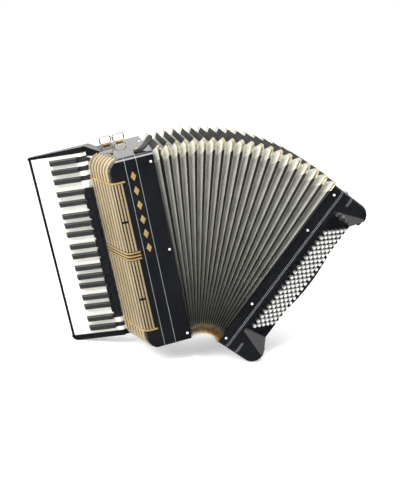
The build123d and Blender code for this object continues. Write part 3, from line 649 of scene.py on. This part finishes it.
def smooth_path(corners):
    """(x, z, normal x, normal z) along a Catmull-Rom curve through XZ corners."""
    steps = 6
    ends = [corners[0]] + list(corners) + [corners[-1]]
    spots = []
    for k in range(1, len(ends) - 2):
        p0, p1, p2, p3 = (Vector(p) for p in ends[k - 1:k + 3])
        for step in range(steps):
            t = step / steps
            spots.append(0.5 * (2 * p1 + (p2 - p0) * t + (2 * p0 - 5 * p1 + 4 * p2 - p3) * t * t
                                + (3 * p1 - p0 - 3 * p2 + p3) * t ** 3))
    spots.append(Vector(corners[-1]))
    path = []
    for k, spot in enumerate(spots):
        run = (spots[min(k + 1, len(spots) - 1)] - spots[max(k - 1, 0)]).normalized()
        path.append((spot.x, spot.y, -run.y, run.x))
    return path


closing_path = smooth_path([
    (-39, TOP + 0.2), (-24, TOP + 0.4), (-12, TOP + 4), (0, TOP + 14), (8, TOP + 23), (11, TOP + 29),
    (7, TOP + 31), (0, TOP + 28), (-10, TOP + 17), (-20, TOP + 9), (-30, TOP + 5.4), (-39, TOP + 4.2),
])
closing = strap_mesh("closing_strap", closing_path, width=21, thick=2.2, place=treble, across=CLOSING_STRAP_Y)
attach(closing, "treble")
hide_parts("bellows_strap")


def turned_part(name, profile, place, centre, axis, finish):
    """Solid of revolution: (radius, height) profile about an axis through centre, in a half's frame."""
    axis = Vector(axis).normalized()
    side = axis.orthogonal().normalized()
    other = axis.cross(side)
    centre = Vector(centre)
    sides = 28
    points = []
    for radius, height in profile:
        for k in range(sides):
            turn = 2 * math.pi * k / sides
            spot = centre + axis * height + (side * math.cos(turn) + other * math.sin(turn)) * radius
            points.append(place(*spot))
    return outward(piece_of(name, points, tube_faces(len(profile), sides), (finish,)))


snap = turned_part(
    "closing_strap_snap",
    [(5.0, 0), (5.2, 0.6), (4.6, 1.4), (3.6, 1.7), (2.6, 1.5), (1.2, 2.3), (0.4, 2.5)],
    treble, (-31, CLOSING_STRAP_Y, TOP + 7.2), (0, 0, 1), HARDWARE)
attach(snap, "treble")


def bass_strap_path():
    """Bow of the hand strap off the bass end, from its foot to its top."""
    path = []
    for k in range(HAND_STRAP_STEPS + 1):
        share = k / HAND_STRAP_STEPS
        z = HAND_STRAP_END + (CASE_HEIGHT - 2 * HAND_STRAP_END) * share
        bow = HAND_STRAP_BOW * math.sin(math.pi * share) ** 0.85
        path.append((BASS_END + bow, z))
    out = []
    for k, (x, z) in enumerate(path):
        a, b = path[max(k - 1, 0)], path[min(k + 1, HAND_STRAP_STEPS)]
        run = Vector((b[0] - a[0], b[1] - a[1])).normalized()
        out.append((x, z, run.y, -run.x))
    return out


def stitches(name, path, place, across, offset, lift, body):
    """Two rows of thread along a strap, each stitch a short bead laid on the leather."""
    sides = 6
    points, faces = [], []
    for side in (-1, 1):
        for (x0, z0, ox, oz), (x1, z1, _, _) in zip(path[1:-2], path[2:-1]):
            run = Vector((x1 - x0, z1 - z0))
            count = max(1, round(run.length / STITCH_LENGTH))
            for n in range(count):
                base = len(points)
                for t, girth in STITCH_SHAPE:
                    spot = Vector((x0, z0)) + run * ((n + t) / count)
                    for k in range(sides):
                        turn = 2 * math.pi * k / sides
                        rise = lift + girth * math.sin(turn)
                        y = across + side * offset + girth * math.cos(turn)
                        points.append(place(spot.x + ox * rise, y, spot.y + oz * rise))
                faces += [tuple(i + base for i in face) for face in tube_faces(len(STITCH_SHAPE), sides)]
    thread = outward(piece_of(name, points, faces, (THREAD,)))
    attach(thread, body)


hand_strap = strap_mesh("bass_hand_strap", bass_strap_path(), width=57, thick=3.2, place=bass,
                        across=HAND_STRAP_Y, crown=1.8)
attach(hand_strap, "bass")
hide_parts("bass_strap")
stitches("bass_hand_strap_stitching", bass_strap_path(), bass, HAND_STRAP_Y, offset=25.4, lift=3.25,
         body="bass")


# ---------------------------------------------------------------- floor, light and camera
FLOOR = varied("studio_floor", (0.86, 0.86, 0.86), (0.90, 0.90, 0.90), 0.8, scale=3, bump=0.02)
FLOOR_HALF = 40
floor_corners = [(x * FLOOR_HALF, y * FLOOR_HALF, 0) for x, y in ((-1, -1), (1, -1), (1, 1), (-1, 1))]
floor = piece_of("studio_floor", floor_corners, [(0, 1, 2, 3)], (FLOOR,), smooth=False)
FLOOR.shader.inputs["Emission Color"].default_value = (1, 1, 1, 1)
FLOOR.shader.inputs["Emission Strength"].default_value = 0.45
floor.visible_glossy = False


def studio_world():
    """White backdrop to the eye; reflections see light above and behind and a dark room in front."""
    world = bpy.data.worlds.new("studio")
    bpy.context.scene.world = world
    world.use_nodes = True
    nodes, links = world.node_tree.nodes, world.node_tree.links
    background = nodes["Background"]
    place = nodes.new("ShaderNodeTexCoord").outputs["Generated"]
    weight = nodes.new("ShaderNodeVectorMath")
    weight.operation = "DOT_PRODUCT"
    links.new(place, weight.inputs[0])
    weight.inputs[1].default_value = (-0.30, 0.85, 0.45)
    shade = nodes.new("ShaderNodeMapRange")
    shade.interpolation_type = "SMOOTHSTEP"
    links.new(weight.outputs["Value"], shade.inputs["Value"])
    for key, value in (("From Min", -0.45), ("From Max", 0.75), ("To Min", 0.02), ("To Max", 0.95)):
        shade.inputs[key].default_value = value
    path = nodes.new("ShaderNodeLightPath")
    seen = nodes.new("ShaderNodeMix")
    seen.data_type = "FLOAT"
    links.new(path.outputs["Is Camera Ray"], seen.inputs["Factor"])
    links.new(shade.outputs["Result"], seen.inputs["A"])
    seen.inputs["B"].default_value = 1.0
    background.inputs["Color"].default_value = (1, 1, 1, 1)
    links.new(seen.outputs["Result"], background.inputs["Strength"])


def softbox(name, place, aim, size, power):
    """Rectangular lamp that faces a point."""
    light = bpy.data.lights.new(name, "AREA")
    light.shape = "RECTANGLE"
    light.size, light.size_y = size
    light.energy = power
    lamp = bpy.data.objects.new(name, light)
    lamp.location = place
    lamp.rotation_euler = (Vector(aim) - Vector(place)).to_track_quat("-Z", "Y").to_euler()
    bpy.context.scene.collection.objects.link(lamp)


studio_world()
softbox("key_softbox", (-2.2, -2.0, 2.3), (0, 0, 0.35), (1.5, 1.5), 130)
softbox("top_softbox", (0.2, -0.9, 2.8), (0, 0, 0.4), (2.4, 1.4), 75)
softbox("edge_softbox", (-2.6, -1.0, 0.7), (0, 0, 0.3), (0.25, 1.6), 22)
bpy.context.scene.view_settings.view_transform = "Standard"

# The camera looks from the front left and above, and is rolled with the leaning instrument.
AZIMUTH, ELEVATION, ROLL = math.radians(14.165), math.radians(15.536), math.radians(4.644)
DISTANCE = 2.640
AIM = FAN_AXIS + Vector((-0.01504, 0.090, 0.2173))
FOCAL_LENGTH = 79.09
back = Vector((
    -math.sin(AZIMUTH) * math.cos(ELEVATION),
    -math.cos(AZIMUTH) * math.cos(ELEVATION),
    math.sin(ELEVATION),
))
right = Vector((math.cos(AZIMUTH), -math.sin(AZIMUTH), 0))
up = back.cross(right)
right, up = (math.cos(ROLL) * right + math.sin(ROLL) * up, math.cos(ROLL) * up - math.sin(ROLL) * right)
lens = bpy.data.cameras.new("camera")
lens.lens = FOCAL_LENGTH
lens.clip_end = 200
camera = bpy.data.objects.new("camera", lens)
facing = Matrix((right, up, back)).transposed().to_4x4()
camera.matrix_world = Matrix.Translation(AIM + DISTANCE * back) @ facing
bpy.context.scene.collection.objects.link(camera)
bpy.context.scene.camera = camera
